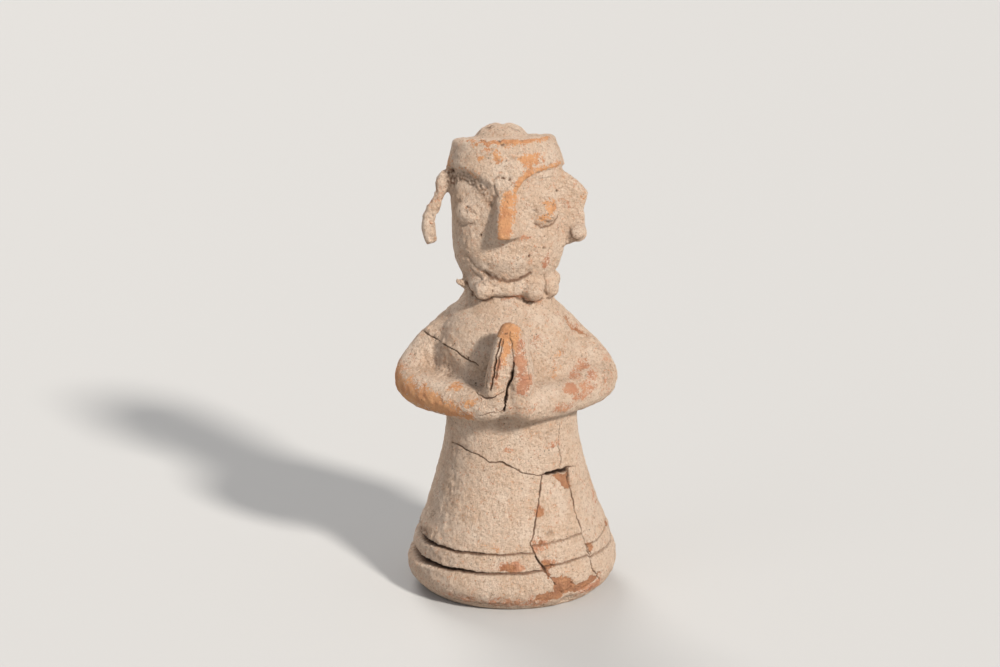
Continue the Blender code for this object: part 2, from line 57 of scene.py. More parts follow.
# The fired-clay figure. Lengths are in millimetres, colours are linear RGB.
# Places are (right of the middle, above the ground) as seen from the front; a third value is
# another side they are seen from, in degrees.
figure = {
    "sideways": 1.1,
    "voxel": 0.74,
    "smoothPasses": 7,
    "insideTriangles": 9000,
    "mostTriangles": 186000,
    "lump": 0.32,
    "wheelRipple": 0.1,
    "grit": 0.22,
    "slip": (0.78, 0.56, 0.402),
    "slipPale": (0.875, 0.69, 0.54),
    "slipDull": (0.575, 0.385, 0.262),
    "orange": (0.86, 0.43, 0.195),
    "orangeDeep": (0.72, 0.31, 0.135),
    "pink": (0.71, 0.345, 0.2),
    "pinkDeep": (0.62, 0.265, 0.15),
    "core": (0.59, 0.275, 0.135),
    "coreDeep": (0.44, 0.185, 0.09),
    # the next two colours stand for soil and soot and also for painted shade in cracks, grooves, creases
    # and holes
    "soilAndShade": (0.25, 0.135, 0.08),
    "sootAndShade": (0.04, 0.022, 0.013),
    "roughness": 0.88,
    "bump": 1.0,
    "hollowMiddle": 2.0,
    "bumpDepth": 1.45,
    "hollowTop": 96.6,  # the inner wall reaches no higher and no further out than this
    "hollowRadius": 26.8,
    "lineStep": 0.2,
    "lineJump": 4,  # a line that falls further back than this has left the front form
    "faceReach": 8,  # a pressed form or a flake reaches no further than this from its middle
    "flakeReach": 14,
    "inset": 0.02,  # kept this far inside the solid's box
    "shine": 0.25,
    "lumpSizes": (13, 6),
    "gritSizes": (2.4, 1.3),
    "rippleSpacing": 3.1,
    "skirtTop": 68,
    "crackOpening": (0.5, 1.25),  # how much narrower and wider a crack runs
    "blotchSizes": (9, 16),
    "fleckSizes": (1.6, 0.8, 1.2),
    "wornEdgeSizes": (2.8, 0.7),
    "grainSizes": (1.3, 3.0),
    "pits": ((2.0, 0.17, 6, 0.54, 0.60), (1.1, 0.22, 3.5, 0.55, 0.62)),  # spacing, radius, patches
    # the two turned grooves: height at the middle, then (right of the middle, width, depth)
    "grooves": {
        "low": {"height": 15.8, "shape": [(-38, 3.6, 4.4), (-33, 2.8, 3.2), (-27, 1.6, 1.7),
            (-10, 1.0, 0.9), (10, 0.9, 0.7), (38, 0.9, 0.45)]},
        "high": {"height": 22.6, "shape": [(-36, 3.2, 3.6), (-32, 2.2, 2.4), (-27, 1.1, 1.1),
            (0, 0.85, 0.7), (10, 0.8, 0.5), (38, 0.8, 0.35)]},
        "tilt": 0.04,
        "inside": 30,
        "sherdStep": {"low": (1.4, 0.4), "high": (2.6, -1.8)},
    },
    # places along each, width, depth, and the side it is seen from when that isn't the front
    "cracks": {
        "leftShoulder": ([(-32.0, 98.8), (-30.6, 98.5), (-28.3, 97.5), (-25.2, 96.9), (-22.1, 96.6),
            (-19.6, 96.0), (-17.8, 94.6), (-16.0, 93.8), (-13.0, 93.2), (-11.6, 92.0)], 0.42, 0.75),
        "skirtTop": ([(-21.6, 58.7), (-19.8, 59.1), (-16.6, 58.0), (-13.2, 57.7), (-10.3, 56.8),
            (-7.2, 54.9), (-4.7, 55.6), (-2.4, 55.3), (1.1, 53.5), (4.5, 51.7), (7.9, 50.8), (11.9, 50.1),
            (15.9, 50.3), (18.8, 50.4), (22.0, 50.8), (25.2, 49.9)], 0.42, 0.8),
        "skirtGapThin": ([(13.8, 50.1), (15.2, 50.2), (17.0, 50.4)], 0.7, 1.7),
        "skirtGap": ([(16.6, 50.3), (18.2, 50.4), (20.0, 50.3), (21.6, 50.0)], 1.25, 3.0),
        "skirtFoot": ([(9.6, 21.9), (11.6, 19.1), (13.6, 16.6)], 0.7, 1.0),
        "rightFoot": ([(28.9, 22.6), (29.9, 20.2), (30.6, 18.2)], 0.7, 0.9),
        "skirtMiddle": ([(11.9, 50.1), (11.6, 46.4), (11.0, 42.1), (10.5, 37.9), (9.6, 34.1), (9.0, 29.4),
            (7.6, 26.8), (8.7, 23.9), (10.1, 21.5), (11.6, 19.1), (12.4, 17.4), (15.3, 13.9), (17.6, 10.5)],
            0.44, 0.8),
        "skirtRight": ([(22.0, 50.0), (22.9, 41.2), (24.9, 33.0), (26.6, 28.4), (28.0, 24.5), (28.9, 21.2),
            (30.1, 16.8), (30.9, 13.7), (32.7, 10.7), (34.0, 7.2)], 0.42, 0.7),
        "backLong": ([(16.0, 62.0), (11.4, 56.8), (9.0, 49.0), (4.2, 43.6), (2.0, 35.0), (-1.6, 29.4),
            (-2.6, 24.4)], 0.38, 0.6, 180),
        "backBranch": ([(4.2, 43.6), (-4.0, 46.4), (-11.6, 45.2), (-19.0, 48.0)], 0.34, 0.5, 180),
        "waist": ([(18.8, 68.0), (18.2, 59.4), (19.4, 55.2), (18.8, 51.6)], 0.32, 0.35),
        "leftWrist": ([(-12.6, 86.0), (-12.2, 85.0), (-11.4, 84.2), (-9.3, 83.7), (-7.0, 84.1),
            (-4.6, 85.6), (-1.9, 86.6)], 0.42, 0.7),
        "leftWristLow": ([(-10.8, 76.8), (-8.6, 77.8), (-7.0, 78.5), (-4.0, 78.5), (-2.2, 79.2)],
            0.36, 0.45),
    },
    # the lines between the fingers and hands, as the cracks
    "handSlits": {
        "split": ([(1.3, 97.6), (1.1, 94.8), (0.2, 90.9), (-0.9, 87.7), (-1.3, 84.6), (-1.6, 80.9),
            (-2.3, 78.6)], 0.75, 1.6),
        "seam": ([(0.1, 108.4), (0.4, 105.4), (0.8, 103.1), (1.3, 99.7), (1.3, 97.6)], 0.3, 0.35),
        "leftFingersA": ([(-3.2, 106.2), (-4.1, 103.8), (-4.8, 100.8), (-5.2, 97.8), (-5.7, 94.2),
            (-6.4, 90.4), (-7.3, 87.2)], 0.5, 1.0),
        "leftFingersB": ([(-2.4, 105.4), (-3.2, 101.9), (-3.9, 98.6), (-4.4, 95.2), (-5.1, 91.8)],
            0.38, 0.6),
        "leftFingersC": ([(-8.0, 92.6), (-8.6, 89.0), (-8.8, 86.2)], 0.34, 0.5),
        "rightFingersA": ([(5.8, 102.2), (6.6, 97.0), (7.4, 91.0)], 0.26, 0.25),
        "rightFingersB": ([(3.2, 106.4), (4.6, 103.6), (5.4, 100.4)], 0.24, 0.22),
    },
    # flaked and chipped places: the corners in turn, depth and how much of the broken colour shows
    "flakes": {
        "skirtFlake": ([(16.2, 49.8), (21.8, 49.0), (23.2, 42.4), (21.8, 43.0)], 0.9, 1.0),
        "footChip": ([(15.4, 14.0), (19.6, 13.8), (23.0, 12.0), (24.6, 9.5), (23.0, 6.2), (18.2, 5.2),
            (17.0, 9.4)], 1.0, 1.0),
        "footLeft": ([(8.8, 6.6), (14.8, 8.4), (19.6, 8.6), (19.8, 4.6), (14.9, 4.2), (9.6, 4.8)],
            0.4, 0.85),
        "footRight": ([(22.4, 9.6), (28.7, 10.3), (34.2, 12.6), (35.0, 10.6), (29.9, 6.6), (23.0, 5.6)],
            0.5, 0.9),
        "crackFoot": ([(10.6, 20.9), (13.3, 19.6), (16.8, 18.5), (16.3, 17.0), (13.6, 16.8)], 0.7, 0.9),
        "crackFootLow": ([(12.4, 17.6), (14.2, 17.4), (15.4, 14.0), (14.4, 13.2)], 0.6, 0.9),
        "bandSpot": ([(-3.5, 17.9), (-0.6, 19.4), (2.6, 18.4), (2.9, 16.7), (-0.6, 16.3), (-3.2, 16.8)],
            0.5, 0.85),
        "crackHigh": ([(9.8, 37.9), (11.3, 38.7), (12.8, 37.2), (12.3, 35.4), (10.5, 35.3)], 0.4, 0.7),
        "crackLow": ([(9.9, 26.6), (11.8, 27.5), (13.3, 26.1), (12.2, 24.8), (10.5, 25.2)], 0.35, 0.6),
        "rightCrack": ([(28.6, 23.4), (30.0, 22.6), (31.9, 19.6), (30.7, 19.1), (29.6, 20.6)], 0.6, 0.9),
        "shoulderHigh": ([(20.4, 106.6), (21.4, 105.8), (24.8, 101.2), (23.6, 100.2), (21.6, 103.0)],
            0.55, 0.5),
        "shoulderLow": ([(23.8, 101.4), (26.0, 99.9), (30.0, 98.0), (29.8, 96.9), (26.0, 98.3),
            (23.6, 100.2)], 0.55, 0.62),
        "bandNotch": ([(-35.6, 24.2), (-31.2, 24.2), (-30.6, 22.8), (-34.6, 22.0)], 1.2, 0.35),
        "backFoot": ([(-20.0, 12.4), (-14.0, 12.0), (-9.0, 8.6), (-13.0, 5.6), (-19.0, 7.0)],
            0.8, 0.9, 180),
        "backShoulder": ([(8.0, 100.4), (12.4, 99.0), (13.4, 94.6), (9.6, 93.4), (6.8, 96.4)],
            0.45, 0.55, 180),
        "sideBand": ([(-6.0, 25.0), (-1.0, 25.4), (0.6, 22.0), (-4.6, 21.4)], 0.6, 0.8, 90),
        "sideFoot": ([(-9.0, 11.0), (-2.0, 11.6), (2.0, 8.4), (-3.4, 5.4), (-8.4, 6.4)], 0.7, 0.8, 270),
    },
    # where the pale slip is worn through: middle, three radii, strength from 0 to 1
    "orangeWear": {
        "leftElbow": ((-42.0, 82.5), (4.0, 9, 5.0), 1.0),
        "leftUnderA": ((-38.5, 79.5), (5.5, 9, 5.0), 1.0),
        "leftUnderB": ((-33.0, 78.5), (5.5, 8, 4.6), 1.0),
        "leftUnderC": ((-28.0, 78.0), (4.5, 8, 4.4), 1.0),
        "leftUnderD": ((-22.5, 76.6), (5.5, 8, 3.2), 0.95),
        "leftUnderE": ((-16.5, 75.6), (4.5, 7, 2.4), 0.75),
        "leftCuffA": ((-20.0, 85.0), (3.2, 4, 1.6), 0.75),
        "leftCuffB": ((-14.6, 81.0), (2.6, 4, 1.4), 0.8),
        "fingertips": ((-0.4, 108.5), (4.2, 6, 4.0), 1.0),
        "leftFingers": ((-1.8, 103.4), (2.0, 5, 5.0), 1.0),
        "rightFingers": ((2.2, 105.0), (1.6, 5, 3.6), 0.9),
        "rightEyeSide": ((15.5, 149.0), (2.2, 4, 3.8), 0.85),
        "rightEyeLow": ((13.4, 145.4), (3.0, 4, 2.6), 0.68),
        "foreheadSpot": ((7.2, 166.6), (2.8, 4, 2.6), 0.95),
        "foreheadRun": ((7.4, 163.4), (1.6, 4, 2.2), 0.85),
        "bandMarkA": ((-7.4, 170.6), (2.0, 4, 0.9), 0.6),
        "bandMarkB": ((-4.4, 168.2), (1.2, 4, 2.0), 0.75),
        "rimFarRight": ((14.0, 173.4), (5.0, 6, 1.5), 0.9),
        "knot": ((1.0, 176.4), (5.0, 5, 1.6), 0.45),
        "leftEar": ((-24.4, 160.4), (2.6, 4, 1.6), 0.5),
        "rightEarEdge": ((26.4, 151.0), (2.0, 4, 3.6), 0.4),
        "chestFoldA": ((18.0, 95.0), (1.4, 4, 1.6), 0.6),
        "chestFoldB": ((17.5, 88.8), (3.2, 4, 1.2), 0.6),
        "bandGrooveLeft": ((-4.0, 25.0), (9.0, 3, 0.9), 0.3),
        "backElbowLeft": ((38.0, 84.0, 180), (5.0, 6, 5.0), 0.9),
        "backElbowRight": ((-37.0, 86.0, 180), (3.6, 5, 5.0), 0.5),
        "backRim": ((2.0, 172.4, 180), (11, 4, 1.2), 0.7),
        "backHead": ((-6.0, 150.0, 180), (3.4, 4, 6.0), 0.5),
        "backHip": ((9.0, 74.0, 180), (5.0, 4, 3.6), 0.45),
        "sideHead": ((9.0, 160.0, 90), (4.0, 4, 4.0), 0.6),
        "sideHeadLeft": ((-4.0, 163.0, 270), (4.0, 4, 4.0), 0.5),
    },
    # the same, to the pinker clay
    "pinkWear": {
        "rightHandHigh": ((3.4, 103.4), (1.6, 4, 3.2), 0.7),
        "rightHandMiddle": ((4.0, 98.4), (2.2, 4, 4.2), 0.95),
        "rightHandLow": ((5.0, 90.8), (2.6, 4, 4.6), 0.95),
        "leftHandSide": ((-5.4, 92.4), (1.8, 4, 4.4), 0.7),
        "leftHandTop": ((-3.4, 97.6), (1.6, 4, 2.4), 0.75),
        "rightArmA": ((27.0, 88.6), (3.0, 5, 1.8), 0.6),
        "rightArmB": ((24.6, 87.0), (2.4, 5, 2.0), 0.6),
        "rightArmC": ((22.2, 83.6), (2.8, 5, 2.0), 0.85),
        "rightArmD": ((28.6, 83.4), (3.2, 5, 3.0), 0.68),
        "rightArmE": ((30.6, 86.4), (2.2, 5, 2.4), 0.6),
        "rightArmF": ((20.4, 77.8), (4.6, 5, 1.8), 0.78),
        "rightArmG": ((26.6, 79.8), (4.2, 5, 2.2), 0.65),
        "rightElbow": ((37.0, 82.5), (3.6, 7, 5.0), 0.35),
        "rightElbowHigh": ((36.0, 91.0), (3.4, 6, 4.0), 0.3),
        "leftElbowHigh": ((-38.6, 87.6), (4.0, 6, 3.0), 0.35),
        "handHeel": ((5.4, 80.0), (5.0, 5, 3.0), 0.3),
        "skirtSpot": ((-1.0, 60.2), (1.6, 3, 1.2), 0.75),
        "crackHigh": ((10.7, 37.4), (2.0, 3, 2.4), 0.75),
        "crackLow": ((11.5, 25.8), (3.0, 3, 2.2), 0.75),
        "crackFoot": ((14.2, 18.6), (3.6, 3, 1.7), 0.85),
        "bandSpot": ((1.0, 18.2), (6.0, 3, 1.8), 0.85),
        "footFront": ((5.0, 4.0), (15, 6, 2.6), 0.6),
        "footLeft": ((-18.0, 5.0), (12, 8, 2.2), 0.4),
        "footRight": ((31.0, 6.0), (9, 8, 3.2), 0.8),
        "cheekSpot": ((13.4, 128.8), (2.0, 4, 2.4), 0.7),
        "mouthSpot": ((7.6, 130.2), (1.2, 4, 2.8), 0.55),
        "collarLine": ((1.6, 115.6), (6.6, 3, 0.8), 0.8),
        "pelletP2": ((9.4, 114.2), (3.6, 4, 1.4), 0.55),
        "noseWing": ((5.6, 138.4), (3.0, 3, 1.0), 0.7),
        "temple": ((20.6, 147.6), (2.6, 4, 1.6), 0.5),
        "shoulderEdge": ((25.4, 100.4), (3.0, 5, 2.4), 0.3),
        "chestRight": ((10.0, 100.8), (2.2, 4, 2.6), 0.35),
        "skirtRight": ((16.0, 60.0), (2.2, 4, 2.0), 0.4),
        "leftFace": ((-26.0, 150.0), (3, 4, 6), 0.25),
        "backSkirt": ((-9.0, 38.0, 180), (5, 4, 3.0), 0.6),
        "backBand": ((12.0, 19.0, 180), (7, 4, 1.8), 0.7),
        "backFootLine": ((-4.0, 4.0, 180), (20, 8, 2.4), 0.6),
        "backNape": ((3.0, 118.0, 180), (7, 4, 2.0), 0.5),
        "sideFootLine": ((0.0, 4.0, 90), (6, 14, 2.4), 0.5),
        "sideFootLineLeft": ((0.0, 4.0, 270), (6, 14, 2.4), 0.5),
        "sideSkirt": ((-6.0, 34.0, 90), (3, 4, 3.0), 0.5),
    },
    # narrow worn strips: the line, half its width and strength
    "wornStrips": {
        "nose": ([(-0.5, 154.2), (-1.2, 151.0), (-1.7, 146.0), (-2.0, 140.0)], 2.4, 1.0),
        "noseEdge": ([(2.4, 154.0), (2.1, 150.0), (1.6, 146.0)], 0.9, 0.6),
        "rightBrow": ([(1.8, 154.4), (2.4, 156.9), (4.2, 159.5), (6.8, 161.4), (8.8, 162.4), (11.4, 163.1),
            (14.6, 163.4), (18.4, 162.9)], 1.0, 0.85),
        "browNear": ([(3.4, 158.6), (6.4, 161.4), (8.4, 163.2)], 1.3, 0.85),
        "rimLeft": ([(-17.0, 172.2), (-12.3, 172.9), (-8.7, 173.0)], 0.8, 0.75),
        "rimMiddle": ([(-9.0, 172.7), (-4.5, 173.4), (-0.4, 173.5), (4.2, 173.4), (9.0, 173.2),
            (13.0, 173.0), (17.0, 172.4)], 0.85, 0.85),
        "leftBrowEdge": ([(-20.6, 161.6), (-17.4, 162.2), (-14.3, 161.8), (-11.2, 159.8)], 0.7, 0.4),
    },
    # soil stains and dots, and painted shade in the sheltered places (pockets, under the lip and rim, the
    # ear root, the nape), as the worn places
    "soilAndShadePatches": {
        "leftPocketA": ((-25.3, 87.8), (1.7, 3, 1.6), 0.34),
        "leftPocketB": ((-22.4, 86.6), (1.9, 3, 1.7), 0.38),
        "underLip": ((-4.8, 127.0), (4.6, 4, 2.6), 0.16),
        "underLipLow": ((-8.6, 124.6), (4.0, 4, 1.6), 0.22),
        "earRoot": ((-21.5, 157.2), (2.2, 5, 4.0), 0.6),
        "knotLeft": ((-7.2, 175.4), (1.6, 3, 0.8), 0.5),
        "rightEyeA": ((9.6, 148.0), (0.9, 2, 0.8), 0.5),
        "rightEyeB": ((11.2, 144.8), (0.7, 2, 0.7), 0.5),
        "rightEyeC": ((15.9, 149.6), (0.6, 2, 0.6), 0.45),
        "rightElbowDots": ((36.0, 86.0), (3.4, 6, 5.0), 0.22),
        "sherdA": ((14.8, 29.6), (1.6, 2, 2.0), 0.3),
        "sherdB": ((22.6, 30.2), (0.9, 2, 1.8), 0.3),
        "rimUnderA": ((-20.9, 3.0), (5.0, 5, 0.7), 0.4),
        "rimUnderB": ((-12.0, 3.5), (6.0, 5, 0.6), 0.45),
        "rimUnderC": ((-2.0, 3.8), (6.0, 5, 0.5), 0.35),
        "backNeck": ((0.0, 115.0, 180), (14, 4, 1.6), 0.4),
        "crown": ((0.0, 171.6, 180), (14, 12, 0.8), 0.3),
    },
    # pressed and modelled forms: middle, two radii, and height (below 0 when sunk)
    "swellings": {
        "leftPellet": ((-16.0, 146.8), (4.9, 4.2), 0.55),
        "rightPellet": ((13.2, 146.6), (5.2, 4.4), 1.2),
        "rightLump": ((14.8, 145.6), (2.6, 2.3), 0.7),
        "cheekLeft": ((-12.0, 133.0), (7.0, 6.5), 0.35),
        "underLip": ((-0.5, 129.8), (10.5, 3.4), 0.55),
        "mouth": ((0.4, 133.6), (6.0, 1.0), -0.32),
        "fingertips": ((-0.1, 108.4), (3.6, 3.8), 0.9),
        "leftHandBack": ((-5.6, 96.0), (2.6, 9.0), 0.35),
    },
    # the pressed rims of the eye pellets: middle, two radii, width and height
    "eyeRims": {
        "left": ((-16.0, 146.8), (4.6, 3.9), 0.5, 0.55),
        "right": ((13.2, 146.6), (4.8, 4.1), 0.4, 0.5),
    },
    # ridges and creases: the line, half its width, height (below 0 for a crease) and how dark its painted
    # shade is
    "ridges": {
        "rightBrow": ([(1.8, 154.8), (2.4, 156.9), (4.2, 159.5), (6.8, 161.2), (8.8, 162.2), (11.4, 162.9),
            (14.6, 163.2), (17.4, 163.0), (19.6, 161.8)], 0.9, 0.55, 0.0),
        "rightBrowUnder": ([(3.0, 154.6), (4.0, 157.2), (5.8, 159.2), (8.6, 160.6), (11.6, 161.4),
            (15.0, 161.8), (18.4, 161.2)], 1.1, -0.45, 0.0),
        "noseRoot": ([(-3.4, 154.6), (-1.4, 155.2), (1.4, 155.2)], 0.6, -0.3, 0.1),
        "creaseA": ([(-6.1, 157.6), (-5.7, 160.0), (-3.6, 161.6)], 0.45, -0.4, 0.35),
        "creaseB": ([(1.5, 159.0), (-0.9, 157.3), (-3.4, 155.6)], 0.45, -0.35, 0.25),
        "creaseC": ([(-5.8, 157.4), (-5.2, 155.0), (-3.6, 153.8)], 0.45, -0.3, 0.25),
        "foreheadA": ([(0.6, 169.4), (4.6, 169.2)], 0.4, -0.3, 0.15),
        "foreheadB": ([(0.2, 167.8), (4.0, 167.5)], 0.4, -0.3, 0.15),
        "chin": ([(-8.7, 124.6), (-6.6, 123.4), (-3.5, 122.7), (-0.4, 122.5), (2.7, 122.8), (5.8, 123.7),
            (7.9, 124.8)], 0.8, -0.75, 0.6),
        "jaw": ([(-16.0, 131.0), (-13.2, 127.6), (-9.9, 125.0), (-7.7, 122.6), (-5.1, 120.7)],
            0.8, -0.4, 0.22),
        "jawSecond": ([(-14.6, 125.6), (-11.2, 122.8), (-8.6, 121.4)], 0.6, -0.35, 0.25),
        "redLine": ([(-6.4, 116.0), (-1.4, 116.0), (1.7, 116.0), (4.3, 114.9)], 0.55, -0.5, 0.35),
        "underP1": ([(-14.0, 116.6), (-12.0, 114.6), (-8.8, 114.2), (-6.4, 115.2)], 0.6, -0.5, 0.7),
        "underP2": ([(4.8, 115.2), (6.4, 113.9), (9.4, 113.2), (12.4, 114.2)], 0.5, -0.45, 0.6),
        "pelletGap": ([(13.0, 123.0), (13.4, 119.6), (13.2, 116.4), (13.6, 114.8)], 0.55, -0.55, 0.35),
        "underP3": ([(13.8, 113.8), (15.4, 113.2), (16.8, 114.2)], 0.5, -0.4, 0.45),
        "collarTear": ([(-16.2, 119.6), (-15.2, 117.8), (-14.4, 116.0), (-13.8, 114.8)], 0.7, -0.9, 0.6),
        "leftEyeArc": ([(-15.6, 149.4), (-14.4, 149.0), (-14.2, 147.8), (-12.6, 147.6), (-12.0, 146.6)],
            0.45, -0.35, 0.45),
        "leftEyeBit": ([(-15.6, 149.4), (-15.9, 148.2), (-15.2, 147.4)], 0.4, -0.3, 0.35),
        "leftEyeUnder": ([(-20.0, 142.2), (-18.0, 141.5), (-15.4, 141.9), (-12.8, 143.0)], 0.6, -0.3, 0.2),
        "rightEyeUnder": ([(9.4, 143.6), (11.4, 142.0), (14.0, 141.6), (16.4, 142.4), (18.0, 144.6)],
            0.5, -0.4, 0.55),
        "lobe": ([(22.2, 138.6), (22.6, 136.6), (24.2, 135.5), (26.2, 135.8), (27.4, 137.2)],
            0.5, -0.4, 0.4),
        "earLineA": ([(-29.4, 149.2), (-25.9, 150.2)], 0.35, -0.25, 0.3),
        "earLineB": ([(-29.6, 136.4), (-26.6, 136.2)], 0.35, -0.25, 0.3),
        "mouthSide": ([(7.4, 134.2), (7.9, 132.0), (7.6, 129.6), (6.4, 127.6)], 0.5, -0.3, 0.1),
        "pocketA": ([(-31.9, 93.4), (-31.6, 91.2), (-30.4, 88.9), (-29.5, 87.4), (-27.6, 86.8)],
            0.3, -0.35, 0.28),
        "pocketB": ([(-30.4, 88.9), (-31.4, 87.4), (-31.6, 85.8)], 0.28, -0.3, 0.2),
        "knotRight": ([(-0.4, 175.9), (2.7, 174.9), (5.0, 173.4)], 0.45, -0.35, 0.3),
        "knotLeft": ([(-8.7, 175.4), (-10.3, 174.2), (-11.6, 172.9)], 0.45, -0.35, 0.3),
        "shoulderLip": ([(-33.0, 100.4), (-31.0, 99.8), (-28.6, 98.8), (-26.0, 98.0)], 0.9, 0.4, 0.0),
        "knotCut": ([(-2.6, 176.4), (-4.2, 175.6), (-4.6, 174.8)], 0.5, -0.7, 0.6),
    },
    # the torn, rough slope under the left brow
    "tornBrow": {
        "line": [(-21.0, 158.8), (-17.6, 159.2), (-14.2, 158.4), (-10.8, 156.6), (-8.6, 154.2),
            (-7.0, 151.8)],
        "width": 3.4,
        "depth": 0.75,
        "grain": 0.7,
    },
    # the torn scrap of collar: its middle from the figure's origin, three radii, lean and swing
    "collarFlap": {
        "middle": (-16.0, -4.5, 118.2),
        "radii": (3.9, 2.0, 1.35),
        "lean": 36,
        "swing": 12,
    },
    # places with a coarser skin: middle, three radii and how rough
    "coarse": {
        "leftEar": ((-27.5, 146.0), (5, 8, 13), 0.42),
        "leftEarRoot": ((-23.0, 159.0), (3, 6, 4), 0.5),
        "leftCollar": ((-18.5, 120.0), (3.4, 6, 4), 0.34),
        "leftShoulder": ((-26.0, 103.6), (8, 8, 4), 0.26),
        "leftPocket": ((-26.0, 90.0), (6, 6, 5), 0.26),
        "leftCheek": ((-14.0, 134.0), (8, 8, 9), 0.2),
        "leftSkirt": ((-33.0, 46.0), (5, 12, 16), 0.2),
        "leftBand": ((-36.0, 26.0), (5, 12, 6), 0.28),
        "underLip": ((-1.0, 127.0), (10, 6, 3), 0.2),
        "forearm": ((-24.0, 80.0), (14, 8, 5), 0.18),
    },
    # small holes: place and radius
    "pinholes": [
        ((-2.5, 160.9), 0.85), ((0.2, 160.5), 0.85), ((-20.2, 146.4), 1.1), ((7.2, 131.9), 0.8),
        ((-21.4, 160.6), 1.0), ((17.4, 153.6), 0.6), ((-1.2, 107.9), 0.7), ((-15.4, 94.4), 0.6),
        ((-10.6, 139.6), 0.7), ((12.6, 134.4), 0.6), ((-6.2, 119.0), 0.6), ((21.2, 133.0), 0.6),
    ],
}


def readPoints(mesh):
    flat = np.empty(len(mesh.vertices) * 3)
    mesh.vertices.foreach_get("co", flat)
    return flat.reshape(-1, 3)


def readNormals(mesh):
    flat = np.empty(len(mesh.vertices) * 3)
    mesh.vertices.foreach_get("normal", flat)
    return flat.reshape(-1, 3)


def writePoints(mesh, points):
    mesh.vertices.foreach_set("co", points.ravel())
    mesh.update()


def ease(t):
    t = np.clip(t, 0, 1)
    return t * t * (3 - 2 * t)


def noiseAt(points, size, seed=0.0):
    # smooth noise from -1 to 1 with features of that size, in millimetres
    scale = 1 / (size * mm)
    shift = Vector((seed * 3.1, seed * 5.7, seed * 1.3))
    return np.array([noise.noise(Vector(p) * scale + shift) for p in points])


def applyModifiers(obj):
    graph = bpy.context.evaluated_depsgraph_get()
    mesh = bpy.data.meshes.new_from_object(obj.evaluated_get(graph))
    obj.modifiers.clear()
    obj.data = mesh


def addFlap(mesh):
    # the torn end of the collar, a tapered scrap of clay standing out from the neck
    flap = figure["collarFlap"]
    at = Matrix.Translation(Vector(flap["middle"]) * mm)
    lean = Matrix.Rotation(math.radians(flap["lean"]), 4, "Y")
    swing = Matrix.Rotation(math.radians(flap["swing"]), 4, "Z")
    place = at @ (lean @ swing) @ Matrix.Diagonal((*flap["radii"], 1))
    cage = bmesh.new()
    cage.from_mesh(mesh)
    bmesh.ops.create_icosphere(cage, subdivisions=3, radius=mm, matrix=place)
    cage.to_mesh(mesh)
    cage.free()


def inHollow(points, normals):
    # true on the wall of the hollow
    fromAxis = points[:, :2] - (figure["hollowMiddle"] * mm, 0)
    facing = (fromAxis * normals[:, :2]).sum(axis=1)
    within = np.linalg.norm(fromAxis, axis=1) < figure["hollowRadius"] * mm
    return (facing < 0) & (points[:, 2] < figure["hollowTop"] * mm) & within


def fineSkin(node):
    # an even, fine skin over the solid, its flat faces worked smooth and the hidden hollow kept coarse
    mesh = node.data.copy()
    addFlap(mesh)
    skin = bpy.data.objects.new("figureSkin", mesh)
    bpy.context.scene.collection.objects.link(skin)
    remesh = skin.modifiers.new("even", "REMESH")
    remesh.mode = "VOXEL"
    remesh.voxel_size = figure["voxel"] * mm
    smooth = skin.modifiers.new("worked", "SMOOTH")
    smooth.factor = 0.5
    smooth.iterations = figure["smoothPasses"]
    applyModifiers(skin)
    hollow = inHollow(readPoints(skin.data), readNormals(skin.data))
    group = skin.vertex_groups.new(name="hollow")
    group.add([int(i) for i in np.nonzero(hollow)[0]], 1.0, "REPLACE")
    total = sum(len(face.vertices) - 2 for face in skin.data.polygons)
    within = 2 * int(hollow.sum())
    thin = skin.modifiers.new("coarse inside", "DECIMATE")
    thin.vertex_group = "hollow"
    thin.vertex_group_factor = 100
    thin.ratio = max(0.05, (total - within + figure["insideTriangles"]) / total)
    applyModifiers(skin)
    skin.vertex_groups.clear()
    return skin


def surfaceTree(obj):
    return BVHTree.FromObject(obj, bpy.context.evaluated_depsgraph_get())


def onSurface(tree, place):
    # the point of the surface at that place, found by looking from its side
    turn = math.radians(place[2]) if len(place) > 2 else 0.0
    across = Vector((math.cos(turn), math.sin(turn), 0))
    toward = Vector((-math.sin(turn), math.cos(turn), 0))
    middle = Vector((figure["sideways"] * mm, 0, place[1] * mm)) + across * place[0] * mm
    hit = tree.ray_cast(middle - toward * 0.2, toward)[0]
    return np.array(hit if hit is not None else tree.find_nearest(middle - toward * 0.02)[0])


def ragged(tree, places, wander=0.22, side=0):
    # the line on the surface through the places, in small steps and wandering a little
    line, jump = [], figure["lineJump"] * mm
    for a, b in zip(places, places[1:]):
        a, b = np.array(a, float), np.array(b, float)
        steps = max(2, int(np.linalg.norm(b - a) / figure["lineStep"]))
        across = np.array([-(b - a)[1], (b - a)[0]]) / max(np.linalg.norm(b - a), 1e-6)
        for step in range(steps):
            spot = a + (b - a) * step / steps
            sway = noise.noise(Vector((spot[0] * 0.55, spot[1] * 0.55, 3.3)))
            sway += 0.5 * noise.noise(Vector((spot[0] * 1.7, spot[1] * 1.7, 8.1)))
            found = onSurface(tree, (*(spot + across * sway * wander * 1.6), side))
            if line and side == 0 and found[1] - line[-1][1] > jump:
                found = np.array(tree.find_nearest(Vector((found[0], line[-1][1], found[2])))[0])
            line.append(found)
    return np.array(line)


def distanceTo(points, line, reach):
    # each point's distance to the line's nearest point, or twice the reach when it is further than that
    near = np.all((points > line.min(axis=0) - reach) & (points < line.max(axis=0) + reach), axis=1)
    tree = KDTree(len(line))
    for index, place in enumerate(line):
        tree.insert(place, index)
    tree.balance()
    away = np.full(len(points), reach * 2)
    for index in np.nonzero(near)[0]:
        away[index] = tree.find(points[index])[2]
    return away


